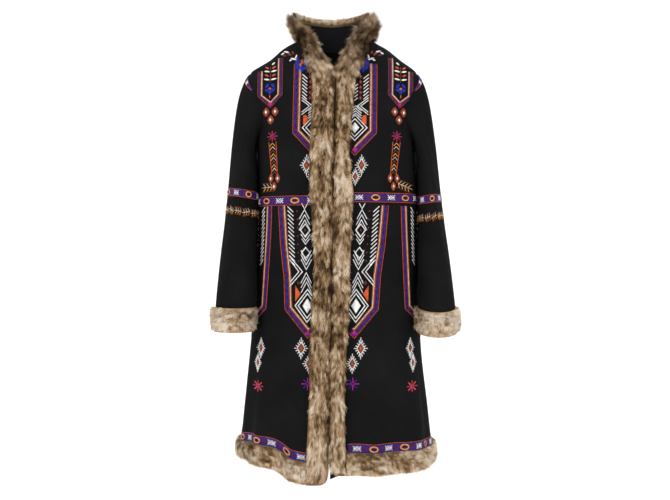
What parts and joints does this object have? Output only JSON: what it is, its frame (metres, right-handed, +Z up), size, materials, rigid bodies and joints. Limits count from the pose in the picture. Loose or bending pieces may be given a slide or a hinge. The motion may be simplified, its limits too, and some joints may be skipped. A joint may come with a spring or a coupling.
{
  "type": "embroidered coat",
  "caption": "Knee-length women's coat of black wool with a fur stand collar, fur edges and cuffs, and bright folk embroidery, filled out as if worn.",
  "frame": {"origin": "where the wearer carries the coat: the middle of the neck, level with the tops of the shoulder seams", "axes": "+Z up; -Y the way the wearer faces; +X the wearer's left"},
  "size_m": [0.5928, 0.3443, 1.1224],
  "materials": {
    "wool": "matte black felted wool cloth",
    "pelt": "rabbit fur, agouti brown with paler tan and grey patches",
    "thread": "embroidery thread with a slight sheen, in white, cream, violet, blue, magenta, orange and copper"
  },
  "bodies": {
    "root": {"front_left": "wool", "front_right": "wool", "back": "wool", "sleeve_left": "wool", "sleeve_right": "wool", "collar": "wool", "fur_front_left": "pelt", "fur_front_right": "pelt", "fur_hem_left": "pelt", "fur_hem_right": "pelt", "fur_hem_back": "pelt", "fur_cuff_left": "pelt", "fur_cuff_right": "pelt", "fur_collar": "pelt"}
  },
  "joints": []
}
